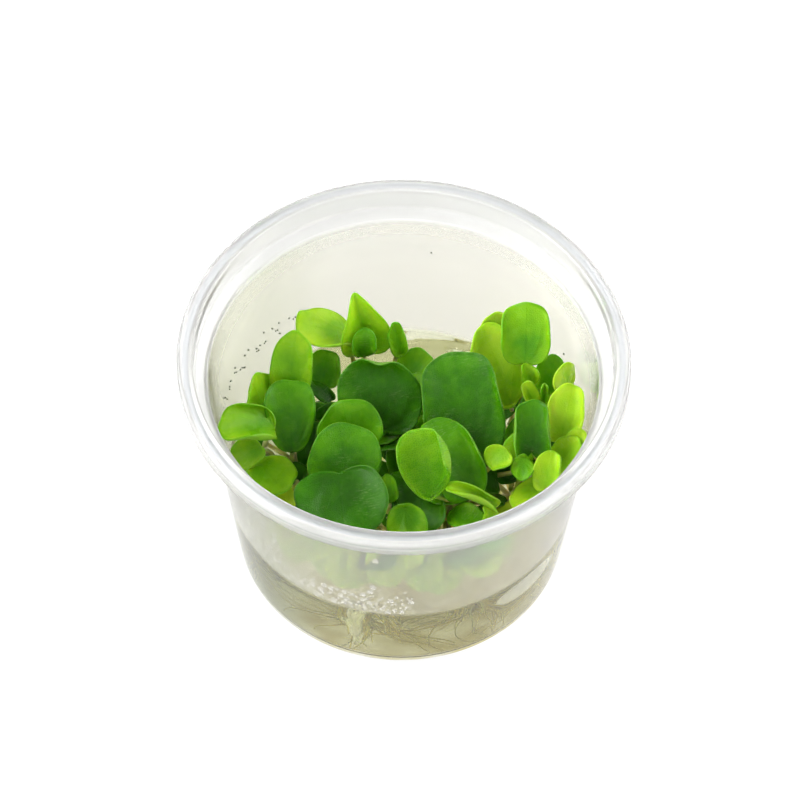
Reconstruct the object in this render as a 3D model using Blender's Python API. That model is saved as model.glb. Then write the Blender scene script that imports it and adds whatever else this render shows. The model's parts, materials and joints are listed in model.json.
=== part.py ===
"""Floating heart plantlets growing in a clear tissue-culture cup.

The cup is a turned plastic tub with a hollow rolled rim. A slab of nutrient gel fills its lower third.
Six plantlets stand in the gel: each has a bundle of roots in it, a crown on it and a rosette of leaves.
A leaf is one piece, a round blade with a basal notch on a petiole that comes up from its crown.

Lengths are in millimetres up to the last step, which turns them into metres.
The origin is the centre of the cup's foot, +Z is up and the photograph looks along +Y.
"""

import math
from collections import namedtuple

import bmesh
import bpy
import numpy as np

MM = 0.001
GAP = 0.3

# Cup
CUP_HEIGHT = 67.0
RIM_RADIUS = 50.0
RIM_ROUND = 0.9
COLLAR_RADIUS = 46.4
SKIRT_HEIGHT = 4.0
LEDGE_HEIGHT = 60.0
LEDGE_RISE = 0.9
WALL = 0.8
WALL_SLOPE = 0.1
FOOT_RADIUS = 38.1
FOOT_CHAMFER = 1.2
FOOT_RING = 3.3
FOOT_RECESS = 0.6
FLOOR_TOP = 1.8
CUP_STEPS = 48

# Gel
GEL_TOP = 22.0
GEL_BOTTOM = FLOOR_TOP + GAP

# Crowns and roots
CROWN_RADIUS = 2.6
CROWN_HEIGHT = 4.6
CROWN_STEPS = 10
ROOT_TOP = GEL_TOP - 0.1
ROOT_BOTTOM = 3.2
ROOT_NECK = 1.9
ROOT_GAP = 1.6 * GAP
ROOT_STEPS = 10

# Petioles, which rise in a ring round each crown
PETIOLE_RADIUS = 0.55
PETIOLE_RING = CROWN_RADIUS + GAP + PETIOLE_RADIUS + 0.25
PETIOLE_FOOT = GEL_TOP + 1.6
PETIOLE_SPACING = math.radians(30)
PETIOLE_SPREAD = 0.45

# Blades
BLADE_THICKNESS = 0.5
NOTCH_WIDTH = 0.42
NOTCH_REACH = 1.6 * PETIOLE_RADIUS
LARGE_BLADE = 9.0

# A plant stands at x, y. Its roots end root_x, root_y beside it and spread to a radius of root_spread.
Plant = namedtuple("Plant", "x y root_x root_y root_spread")
PLANTS = {
    "left": Plant(-24, 0, -1, -7, 7.0),
    "front": Plant(-8, -15, 4, -11, 8.0),
    "back": Plant(-8, 9, -2, 6, 7.0),
    "middle": Plant(11, -9, 2, -9, 6.5),
    "right_back": Plant(22, 10, 1, 3, 6.0),
    "right_front": Plant(27, -8, -1, -4, 5.5),
}

# A leaf runs from its notch to its tip, both in mm. roll turns the blade about that line, in degrees, and
# lifts its right side. cup and arch are the degrees that the blade bends up across its width and along its
# length, and fold is the angle of each half to the flat. taper widens it towards the tip, lobe is the share
# of its length that lies behind the notch, and bow pushes the petiole aside by that many mm.
Leaf = namedtuple(
    "Leaf",
    "plant notch tip width roll cup fold arch taper lobe bow",
    defaults=(0, 20, 0, -15, 0.0, 0.22, (0, 0)),
)
LEAVES = {
    "front_large": Leaf("front", (-14, -20, 48), (-12, -34, 45), 20.5, bow=(0, -3)),
    "front_mid": Leaf("front", (-12, -17, 42), (-14, -7, 50), 16),
    "front_mid_back": Leaf("front", (-11.5, -5, 38), (-13.5, 1.5, 47), 15.5),
    "front_centre_low": Leaf("front", (1, -23, 40), (2, -31, 38), 8.5),
    "front_centre_dark": Leaf("front", (1.5, -9, 33.5), (7.5, -25, 35.5), 11),
    "front_small": Leaf("front", (-2.5, -19, 38), (-3.5, -15, 42), 4),
    "centre_large": Leaf("back", (-4, 1, 38), (-8.5, 12.5, 50), 19, roll=8, cup=30),
    "olive_under": Leaf("back", (-18.5, 13.5, 37), (-17.5, 20, 41), 8.5),
    "back_left_yellow": Leaf("back", (-13, 22, 44), (-25, 21, 49.5), 11),
    "back_peak": Leaf("back", (-9, 20, 43), (-11.4, 25.5, 55), 10.5, cup=0, fold=25, taper=-1),
    "back_small": Leaf("back", (-9, 16.5, 44.5), (-9, 19.5, 50), 5.5),
    "back_narrow": Leaf("back", (-1, 18.5, 43), (-2.5, 21.5, 50), 4.5, cup=0, fold=20),
    "back_olive": Leaf("back", (0.5, 17, 34), (5.5, 22, 38), 9),
    "back_olive_low": Leaf("back", (2, 11, 34), (5.5, 16, 37.5), 8),
    "left_upright": Leaf("left", (-26, 8, 40), (-24.5, 18.5, 49.5), 10, cup=0, fold=20, bow=(3, 0)),
    "left_dull": Leaf("left", (-25, -4.5, 36), (-26, 7, 47), 11.5, cup=10, arch=-10, taper=0.4, lobe=0.08),
    "left_wall": Leaf("left", (-31, 4.5, 37.5), (-35, 8, 45.5), 12.5, roll=-20, cup=30, lobe=0.12),
    "left_far": Leaf("left", (-29.5, -2.5, 42), (-40.8, -7, 46), 12, cup=45, lobe=0.12, bow=(-3, -2)),
    "left_far_low": Leaf("left", (-32.5, -5, 37), (-38, -7.5, 34.5), 8),
    "left_front_low": Leaf("left", (-31.5, -9, 36), (-26, -17, 37), 11),
    "left_shade": Leaf("left", (-23, -11.5, 30), (-26.5, -6.5, 33), 8),
    "left_inner": Leaf("left", (-20.5, -5, 31), (-20, 1, 39), 7),
    "left_narrow": Leaf("left", (-17, 10, 36), (-22, 13.5, 38), 3.5),
    "right_large": Leaf("middle", (14.5, -5, 38), (11.5, 13.5, 50.5), 19.5),
    "folded_near": Leaf(
        "middle", (6.5, -19.5, 41), (4.5, -8, 50), 13.5,
        roll=10, cup=42, arch=-10, taper=0.8, lobe=0.08, bow=(7, 1),
    ),
    "folded_far": Leaf("middle", (15, -17, 37), (6.5, -2.5, 46), 14, cup=30, lobe=0.1),
    "front_right_low": Leaf("middle", (12, -20, 35), (18.5, -25, 36), 7, bow=(0, -2)),
    "front_right_small": Leaf("middle", (21.5, -24, 35.5), (18.5, -21.5, 39.5), 4, bow=(0, -6)),
    "rolled_band": Leaf("middle", (20.5, -20, 38), (10, -18.5, 43), 5, cup=120, bow=(0, 3)),
    "right_yellow_tall": Leaf("right_back", (24.5, 10, 36), (17.5, 22.5, 48), 14, lobe=0.08),
    "right_yellow_back": Leaf("right_back", (21, 23, 41.5), (20.5, 25.5, 49), 8),
    "right_upright": Leaf(
        "right_back", (27.5, 14.5, 45.5), (27.5, 24.5, 54.5), 11.5, cup=15, arch=-10, lobe=0.12, bow=(4.5, 0)
    ),
    "right_behind": Leaf("right_back", (33, 12.5, 38), (34.5, 17.5, 44), 7),
    "young_mid": Leaf("right_back", (29, 11, 42), (27.5, 13.5, 46), 4, cup=0, fold=20, bow=(3, 0)),
    "young_rolled": Leaf("right_front", (29.5, 6, 41), (27.5, 9, 45), 4.5, cup=0, fold=40),
    "young_grey": Leaf("right_front", (32, 6.5, 41), (32, 8.5, 45), 3, cup=0, fold=50),
    "right_bright": Leaf("right_front", (36, -3, 41), (38, 6, 49), 9),
    "right_bright_back": Leaf("right_back", (37, 9.5, 42), (35.5, 10.5, 49.5), 8),
    "right_lobe": Leaf("right_front", (37.5, -7.5, 40.5), (40, -4.5, 46), 5),
    "right_cup": Leaf("right_front", (29, -8, 43), (29, 0.5, 50), 10.5, cup=60, lobe=0.35, bow=(2, -1)),
    "right_low": Leaf("right_front", (35, -10, 39), (39.5, -6.5, 45), 8),
    "small_round": Leaf("middle", (23, -9.5, 44), (19.5, -12.5, 42), 6.5, bow=(-3, -1)),
    "small_arc": Leaf("middle", (27.4, -8.8, 39), (24.4, -3.8, 42), 6.5),
    "small_dark": Leaf("right_front", (27.5, -11, 43), (26.5, -15.5, 42), 5, bow=(0, -2.5)),
    "right_front": Leaf("right_front", (32, -16, 40), (33.5, -10.5, 46), 6.5, bow=(4, 0)),
    "front_right_rim": Leaf("right_front", (31.5, -12.5, 36), (25, -19.5, 37), 6, bow=(0.5, 0.5)),
}


def unit(vector):
    """The vector at length 1."""
    return vector / np.linalg.norm(vector)


def wall_radius(height):
    """Outer radius of the cup's sloping wall at a height."""
    return FOOT_RADIUS + WALL_SLOPE * height


def add_object(name, bm, colour, roughness, sharp_angle=35):
    """Turns a bmesh in mm into an object in metres, with its own plain material."""
    bmesh.ops.recalc_face_normals(bm, faces=bm.faces[:])
    if bm.calc_volume(signed=True) < 0:
        bmesh.ops.reverse_faces(bm, faces=bm.faces[:])
    bmesh.ops.scale(bm, vec=(MM, MM, MM), verts=bm.verts[:])
    mesh = bpy.data.meshes.new(name)
    bm.to_mesh(mesh)
    bm.free()
    mesh.shade_smooth()
    mesh.set_sharp_from_angle(angle=math.radians(sharp_angle))
    material = bpy.data.materials.new(name + "_material")
    material.use_nodes = True
    shader = material.node_tree.nodes["Principled BSDF"]
    shader.inputs["Base Color"].default_value = colour
    shader.inputs["Roughness"].default_value = roughness
    shader.inputs["Metallic"].default_value = 0.0
    mesh.materials.append(material)
    obj = bpy.data.objects.new(name, mesh)
    bpy.context.scene.collection.objects.link(obj)
    return obj


def turned(profile, steps, centre=(0, 0)):
    """A bmesh turned about a vertical axis from (radius, height) pairs that start and end on the axis."""
    bm = bmesh.new()
    cx, cy = centre
    verts = [bm.verts.new((cx + radius, cy, height)) for radius, height in profile]
    edges = [bm.edges.new(pair) for pair in zip(verts, verts[1:])]
    bmesh.ops.spin(
        bm, geom=verts + edges, cent=(cx, cy, 0), axis=(0, 0, 1), angle=math.tau, steps=steps
    )
    bmesh.ops.remove_doubles(bm, verts=bm.verts[:], dist=0.001)
    return bm


def cup_profile():
    """The cup's outline: underside, foot, wall, skirt and rim outside, then the inside down to the floor."""
    neck = wall_radius(LEDGE_HEIGHT)
    ring_outside = FOOT_RADIUS - FOOT_CHAMFER
    ring_inside = ring_outside - FOOT_RING
    skirt_bottom = CUP_HEIGHT - SKIRT_HEIGHT
    floor_round = FLOOR_TOP + FOOT_CHAMFER
    return [
        (0, FOOT_RECESS),
        (ring_inside - FOOT_RECESS, FOOT_RECESS),
        (ring_inside, 0),
        (ring_outside, 0),
        (wall_radius(FOOT_CHAMFER), FOOT_CHAMFER),
        (neck, LEDGE_HEIGHT),
        (COLLAR_RADIUS + 0.6, LEDGE_HEIGHT + LEDGE_RISE),
        (COLLAR_RADIUS + WALL, CUP_HEIGHT - RIM_ROUND),
        (RIM_RADIUS - RIM_ROUND - 0.2, CUP_HEIGHT - RIM_ROUND - 0.2),
        (RIM_RADIUS - WALL, skirt_bottom),
        (RIM_RADIUS, skirt_bottom),
        (RIM_RADIUS - 0.2, CUP_HEIGHT - 0.6),
        (RIM_RADIUS - RIM_ROUND, CUP_HEIGHT),
        (COLLAR_RADIUS, CUP_HEIGHT),
        (COLLAR_RADIUS - 0.3, LEDGE_HEIGHT + LEDGE_RISE),
        (neck - WALL, LEDGE_HEIGHT),
        (wall_radius(floor_round) - WALL, floor_round),
        (wall_radius(FLOOR_TOP) - WALL - FOOT_CHAMFER, FLOOR_TOP),
        (0, FLOOR_TOP),
    ]


def build_cup():
    bm = turned(cup_profile(), CUP_STEPS)
    return add_object("cup", bm, (0.86, 0.88, 0.87, 1), 0.25)


def root_bundle(plant, grow=0.0):
    """A bundle of roots that spreads and leans as it goes down, larger by grow all round and taller still."""
    top = ROOT_TOP + 4 * grow
    profile = [
        (0, ROOT_BOTTOM - grow),
        (0.68 * plant.root_spread + grow, ROOT_BOTTOM - grow),
        (plant.root_spread + grow, ROOT_BOTTOM + 2.2),
        (0.72 * plant.root_spread + grow, 12.0),
        (ROOT_NECK + grow, top),
        (0, top),
    ]
    bm = turned(profile, ROOT_STEPS, (plant.x, plant.y))
    for vert in bm.verts:
        share = (ROOT_TOP - vert.co.z) / (ROOT_TOP - ROOT_BOTTOM)
        vert.co.x += plant.root_x * share
        vert.co.y += plant.root_y * share
    return bm


def build_gel():
    """The gel slab, with a pocket for each bundle of roots."""
    round_off = FOOT_CHAMFER + 0.1
    top_radius = wall_radius(GEL_TOP) - WALL - GAP
    low_radius = wall_radius(GEL_BOTTOM + FOOT_CHAMFER) - WALL - GAP
    slab = [
        (0, GEL_BOTTOM),
        (low_radius - round_off, GEL_BOTTOM),
        (low_radius, GEL_BOTTOM + round_off),
        (top_radius, GEL_TOP),
        (0, GEL_TOP),
    ]
    gel = add_object("gel", turned(slab, CUP_STEPS), (0.62, 0.58, 0.42, 1), 0.1)
    for name, plant in PLANTS.items():
        cutter = add_object("pocket_" + name, root_bundle(plant, ROOT_GAP), (0.5, 0.5, 0.5, 1), 0.5)
        cutter.hide_render = True
        cutter.display_type = "WIRE"
        pocket = gel.modifiers.new("pocket_" + name, "BOOLEAN")
        pocket.operation = "DIFFERENCE"
        pocket.solver = "EXACT"
        pocket.object = cutter
    return gel


def build_plant_base(name, plant):
    """The crown on the gel and the bundle of roots below it."""
    crown = [
        (0, GEL_TOP + GAP),
        (CROWN_RADIUS - 0.3, GEL_TOP + GAP),
        (CROWN_RADIUS, GEL_TOP + 1.5),
        (CROWN_RADIUS - 0.5, GEL_TOP + CROWN_HEIGHT - 1.0),
        (CROWN_RADIUS - 1.4, GEL_TOP + CROWN_HEIGHT),
        (0, GEL_TOP + CROWN_HEIGHT),
    ]
    crown_mesh = turned(crown, CROWN_STEPS, (plant.x, plant.y))
    add_object("crown_" + name, crown_mesh, (0.42, 0.45, 0.16, 1), 0.5)
    add_object("roots_" + name, root_bundle(plant), (0.72, 0.66, 0.42, 1), 0.6)


def petiole_feet():
    """Where each petiole starts beside its crown: towards its leaf, pushed apart where several go one way."""
    feet = {}
    for name, plant in PLANTS.items():
        mine = [key for key, leaf in LEAVES.items() if leaf.plant == name]
        angle = {
            key: math.atan2(LEAVES[key].notch[1] - plant.y, LEAVES[key].notch[0] - plant.x)
            for key in mine
        }
        for _ in range(200):
            order = sorted(mine, key=lambda key: angle[key])
            for near, far in zip(order, order[1:] + order[:1]):
                apart = (angle[far] - angle[near]) % math.tau
                if apart < PETIOLE_SPACING:
                    push = (PETIOLE_SPACING - apart) / 2
                    angle[near] -= push
                    angle[far] += push
        for key in mine:
            side = np.array([math.cos(angle[key]), math.sin(angle[key]), 0])
            start = np.array([plant.x, plant.y, PETIOLE_FOOT]) + side * PETIOLE_RING
            feet[key] = (start, side)
    return feet


def blade_edge(turn, leaf, length):
    """The flat outline at turn, an angle that goes round it from the tip. The notch is half way round."""
    back = leaf.lobe * length
    x = leaf.width / 2 * math.sin(turn)
    y = (length - back) / 2 + (length + back) / 2 * math.cos(turn)
    x *= 1 + leaf.taper * (y / length - 0.5)
    reach = math.hypot(x, y)
    cut_in = (reach - NOTCH_REACH) * math.exp(-(((math.pi - turn) / NOTCH_WIDTH) ** 2))
    kept = max(reach - cut_in, NOTCH_REACH) / reach
    return x * kept, y * kept


def bent(x, y, leaf, length):
    """A flat blade point, bent across, folded along the midrib and arched along its length."""
    z = 0.0
    across = 2 * math.radians(leaf.cup) / leaf.width
    if across:
        x, z = math.sin(x * across) / across, (1 - math.cos(x * across)) / across
    fold = math.radians(leaf.fold)
    x, z = x * math.cos(fold), z + abs(x) * math.sin(fold)
    along = math.radians(leaf.arch) / length
    if along:
        turn = y * along
        y = math.sin(turn) / along - z * math.sin(turn)
        z = (1 - math.cos(turn)) / along + z * math.cos(turn)
    return np.array([x, y, z])


def blade_frame(leaf):
    """Notch, axes (right, forward, upper side) and length: the bent tip lands on the stated one."""
    notch = np.array(leaf.notch, float)
    run = np.array(leaf.tip, float) - notch
    length = np.linalg.norm(run)
    forward = unit(run)
    right = unit(np.cross(forward, (0, 0, 1)))
    upper = np.cross(right, forward)
    roll = math.radians(leaf.roll)
    right, upper = (
        right * math.cos(roll) + upper * math.sin(roll),
        upper * math.cos(roll) - right * math.sin(roll),
    )
    tip = bent(0, length, leaf, length)
    lean = math.atan2(tip[2], tip[1])
    forward, upper = (
        forward * math.cos(lean) - upper * math.sin(lean),
        upper * math.cos(lean) + forward * math.sin(lean),
    )
    return notch, (right, forward, upper), length * length / math.hypot(tip[1], tip[2])


def blade_ring(leaf, frame, share, count, drop):
    """Points round the blade, at a share of the way out to its edge and drop below its upper side."""
    notch, (right, forward, upper), length = frame
    points = []
    for k in range(count):
        edge_x, edge_y = blade_edge(math.tau * k / count, leaf, length)
        reach = math.hypot(edge_x, edge_y)
        scale = (PETIOLE_RADIUS + (reach - PETIOLE_RADIUS) * share) / reach
        x, y, z = bent(edge_x * scale, edge_y * scale, leaf, length)
        points.append(notch + right * x + forward * y + upper * (z - drop))
    return points


def petiole_path(leaf, frame, foot, pieces):
    """Points along the petiole, from under the notch down to the crown."""
    notch, (_, forward, upper), _ = frame
    start, side = foot
    end = notch - upper * BLADE_THICKNESS
    leave = unit(side * PETIOLE_SPREAD + np.array([0, 0, 1.0]))
    arrive = unit(forward + upper)
    span = np.linalg.norm(end - start)
    bow = np.array([leaf.bow[0], leaf.bow[1], 0.0])
    handles = [start, start + leave * span * 0.4 + bow, end - arrive * span * 0.3 + bow, end]
    points = []
    for k in range(pieces + 1):
        t = 1 - k / pieces
        weights = ((1 - t) ** 3, 3 * t * (1 - t) ** 2, 3 * t * t * (1 - t), t**3)
        points.append(sum(w * h for w, h in zip(weights, handles)))
    return points


def tube_rings(path, right, sides):
    """Rings of a round tube along path, from its second point on, turning as the blade's rings do."""
    rings = []
    for k in range(1, len(path)):
        along = unit(path[min(k + 1, len(path) - 1)] - path[k - 1])
        right = unit(right - along * np.dot(right, along))
        front = np.cross(right, along)
        radius = PETIOLE_RADIUS * (0.9 + 0.25 * k / len(path))
        turns = [math.tau * i / sides for i in range(sides)]
        rings.append([path[k] + radius * (right * math.sin(a) + front * math.cos(a)) for a in turns])
    return rings


def stitch(bm, first, second):
    """Joins two closed rings of vertices with triangles. They may have different counts."""
    i = j = 0
    while i < len(first) or j < len(second):
        a, b = first[i % len(first)], second[j % len(second)]
        if (i + 1) * len(second) <= (j + 1) * len(first):
            i += 1
            bm.faces.new((a, first[i % len(first)], b))
        else:
            j += 1
            bm.faces.new((a, second[j % len(second)], b))


def build_leaf(name, leaf, foot):
    """One closed solid: the blade, and a petiole drawn out of its underside at the notch."""
    large = leaf.width >= LARGE_BLADE
    count, sides, pieces = (14, 6, 5) if large else (10, 5, 4)
    shares = (0.0, 0.6) if large else (0.0,)
    frame = blade_frame(leaf)
    bm = bmesh.new()

    def ring(points):
        return [bm.verts.new(point) for point in points]

    upper_rings = [ring(blade_ring(leaf, frame, share, count, 0)) for share in shares]
    edge = ring(blade_ring(leaf, frame, 1.0, count, BLADE_THICKNESS / 2))
    lower_rings = [
        ring(blade_ring(leaf, frame, share, count, BLADE_THICKNESS)) for share in reversed(shares)
    ]
    centre = bm.verts.new(frame[0])
    for k, vert in enumerate(upper_rings[0]):
        bm.faces.new((centre, vert, upper_rings[0][(k + 1) % count]))
    path = petiole_path(leaf, frame, foot, pieces)
    tube = [ring(points) for points in tube_rings(path, frame[1][0], sides)]
    chain = [*upper_rings, edge, *lower_rings, *tube]
    for first, second in zip(chain, chain[1:]):
        stitch(bm, first, second)
    bm.faces.new(tube[-1])
    return add_object("leaf_" + name, bm, (0.22, 0.48, 0.07, 1), 0.4)


def main():
    for obj in list(bpy.data.objects):
        bpy.data.objects.remove(obj)
    build_cup()
    build_gel()
    for name, plant in PLANTS.items():
        build_plant_base(name, plant)
    feet = petiole_feet()
    for name, leaf in LEAVES.items():
        build_leaf(name, leaf, feet[name])


main()
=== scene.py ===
"""Looks for the floating heart plantlets in their cup: fine leaves, roots, gel, cup, finishes and light.

Shapes are worked out in millimetres, in the part's own frame, and turned into metres when a piece is made.
The leaves repeat the part's own outline, bend and petiole formulas at a finer step.
"""

import json
import math
from collections import namedtuple

import bpy
import numpy as np
from mathutils import Matrix, Vector

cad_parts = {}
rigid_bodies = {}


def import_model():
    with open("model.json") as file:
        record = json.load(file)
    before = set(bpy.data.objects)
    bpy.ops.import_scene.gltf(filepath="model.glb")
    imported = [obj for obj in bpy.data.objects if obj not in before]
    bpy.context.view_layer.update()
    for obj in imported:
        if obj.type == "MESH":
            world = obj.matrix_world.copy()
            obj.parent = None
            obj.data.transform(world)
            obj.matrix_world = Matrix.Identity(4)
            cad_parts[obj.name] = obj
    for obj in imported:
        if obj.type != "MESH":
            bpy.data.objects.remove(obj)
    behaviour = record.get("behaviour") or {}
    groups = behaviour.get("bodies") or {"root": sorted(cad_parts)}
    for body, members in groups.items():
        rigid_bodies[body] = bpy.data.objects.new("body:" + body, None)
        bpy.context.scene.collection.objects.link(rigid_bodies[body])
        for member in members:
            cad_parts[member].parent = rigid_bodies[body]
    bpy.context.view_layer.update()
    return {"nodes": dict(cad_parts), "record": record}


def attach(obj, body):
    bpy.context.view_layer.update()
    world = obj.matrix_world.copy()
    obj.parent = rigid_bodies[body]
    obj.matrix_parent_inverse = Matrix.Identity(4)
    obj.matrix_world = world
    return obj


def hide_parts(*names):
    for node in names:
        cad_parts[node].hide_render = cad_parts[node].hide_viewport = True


MM = 0.001
SEED = 11

# Camera, as fitted to the photograph: angles in degrees, distance and height in mm
CAMERA_ELEVATION = 53.61
CAMERA_ROLL = 1.10
CAMERA_DISTANCE = 750.5
CAMERA_AIM_HEIGHT = 67.3
FOCAL_PIXELS = 3416.6
FRAME_PIXELS = 800
CENTRE_PIXEL = (404.0, 353.8)
SENSOR_MM = 36.0

# Light: a dim room over a glowing white floor. Each light is a direction, its brightness and the cosines of
# the angles at which it begins and is full: a soft box at the left, one at the right, a dim one in front and
# the pale horizon.
ROOM_BRIGHTNESS = 0.36
LIGHTS = (
    ((-0.85, 0.1, 0.62), 8.5, 0.86, 0.96),
    ((0.8, 0.3, 0.55), 5.5, 0.86, 0.96),
    ((0, -0.95, 0.3), 1.6, 0.75, 0.9),
    ((0, 0, -1), 0.65, -0.6, -0.2),
)
FLOOR_GLOW = 0.94

# Cup
CUP_HEIGHT = 67.0
RIM_RADIUS = 50.0
COLLAR_RADIUS = 46.4
LEDGE_HEIGHT = 60.0
SKIRT_BOTTOM = 63.0
SKIRT_POINTS = (
    (0.85, 0.8), (0.6, 0.1), (0.3, 0), (0.05, 0.15), (0.02, 0.5),
    (0.25, 1.0), (0.3, 1.9), (0.08, 2.2), (0, 2.9),
)
WALL = 0.8
WALL_SLOPE = 0.1
FOOT_RADIUS = 38.1
FLOOR_TOP = 1.8
CORNER_ROUND = 1.4
CORNER_HEIGHT = 3.2
CUP_STEPS = 256

# Gel. Where it wets the cup, light bends by the ratio of the two indices and there is no air between them.
CUP_IOR = 1.49
GEL_IOR = 1.33
WATER_IOR = 1.33
GEL_TINT = (0.71, 0.72, 0.33, 1)
GEL_DENSITY = 27.0
GEL_TOP = 22.0
MENISCUS_HEIGHT = 1.8
MENISCUS_WIDTH = 4.0
MENISCUS_STEPS = 8
GEL_FILM = 0.1

# Pocket of air between wall and gel: degrees round from the front, height, half sizes and slope
POCKET_ANGLE = 47.0
POCKET_HEIGHT = 17.9
POCKET_SIZE = (9.5, 4.0)
POCKET_SLOPE = -0.05

# Crowns, roots and petioles
CROWN_RADIUS = 2.6
ROOT_TOP = GEL_TOP - 0.1
ROOT_BOTTOM = 3.2
PETIOLE_RADIUS = 0.55
PETIOLE_RING = CROWN_RADIUS + 0.3 + PETIOLE_RADIUS + 0.25
PETIOLE_FOOT = GEL_TOP + 1.6
PETIOLE_SPACING = math.radians(30)
PETIOLE_SPREAD = 0.45
PETIOLE_PIECES = 18
PETIOLE_SIDES = 10
ROOT_STRANDS = 26
ROOT_PIECES = 16
ROOT_SIDES = 7
MAT_STRANDS = 30
MAT_PIECES = 13
MAT_SIDES = 6
MAT_HEIGHT = 2.4
CLUMP_STRANDS = 46
CLUMP_PIECES = 9
CLUMP_ANGLE = -15

# Blades
BLADE_THICKNESS = 0.45
BLADE_STEPS = 84
BLADE_RINGS = 16
NOTCH_WIDTH = 0.42
NOTCH_REACH = 1.6 * PETIOLE_RADIUS
LIP_START = 0.75
QUILT = 0.012
VEIN_ANGLE = 0.44
UNDER_STEPS = 40
UNDER_RINGS = 8
UNDER_RING = 1.6
UNDER_LEAVES = 54
UNDER_REACH = 33.0
UNDER_EDGE = 38.0
UNDER_BACK = 12.0
CORE_SPOTS = (
    (-2, -5, 33), (-3, 0, 35), (1, -3, 31), (-19, 2, 33), (14, 4, 33), (3, -13, 31),
    (23, 1, 31), (25, -7, 30), (21, -11, 30), (30, -2, 31), (-14, 10, 31),
)
BACK_LEAF = ((10.0, 14.5, 34.0), 88.0)
WALL_LEAF_ANGLES = (-62, -52, -43, -35, -27, -19, -12, -5, 2, 9, 16, 24, 32, 41, 51, 60)
LOW_SIDE = -22.0
LOW_TOP = 27.5
GOLDEN_ANGLE = 2.4

# Leaf colour by tone
LEAF_COLOURS = (
    (0.0, (0.009, 0.048, 0.001)),
    (0.3, (0.030, 0.146, 0.001)),
    (0.5, (0.086, 0.285, 0.002)),
    (0.7, (0.200, 0.420, 0.006)),
    (0.85, (0.340, 0.550, 0.014)),
    (1.0, (0.480, 0.640, 0.040)),
)

# Groups of drops inside the wall: degrees round from the front from one to the other, heights and how many
DROP_GROUPS = (
    (-7.2, -7.2, 48.5, 48.5, 1),
    (-78, -40, 25, 46, 260),
    (-42, 4, 24.5, 32, 260),
    (-12, 2, 26, 36, 14),
)
DROP_GAP = 1.1
DROP_RINGS = 4
DROP_SIDES = 10
DROP_HEIGHT = 0.6
DROP_SAG = 1.15
LONE_DROP = 0.7

# Flecks on the inner wall, as degrees round from the front and height in mm: a line from one to the other
SPECK_LINE = np.array([(-99.0, 39.5), (-142.0, 36.5)])
SPECKS = 30
STRAY_SPECKS = ((118.0, 42.0), (62.0, 34.0), (172.0, 50.0))

Plant = namedtuple("Plant", "x y root_x root_y root_spread")
PLANTS = {
    "left": Plant(-24, 0, -1, -7, 7.0),
    "front": Plant(-8, -15, 4, -11, 8.0),
    "back": Plant(-8, 9, -2, 6, 7.0),
    "middle": Plant(11, -9, 2, -9, 6.5),
    "right_back": Plant(22, 10, 1, 3, 6.0),
    "right_front": Plant(27, -8, -1, -4, 5.5),
}

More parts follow.
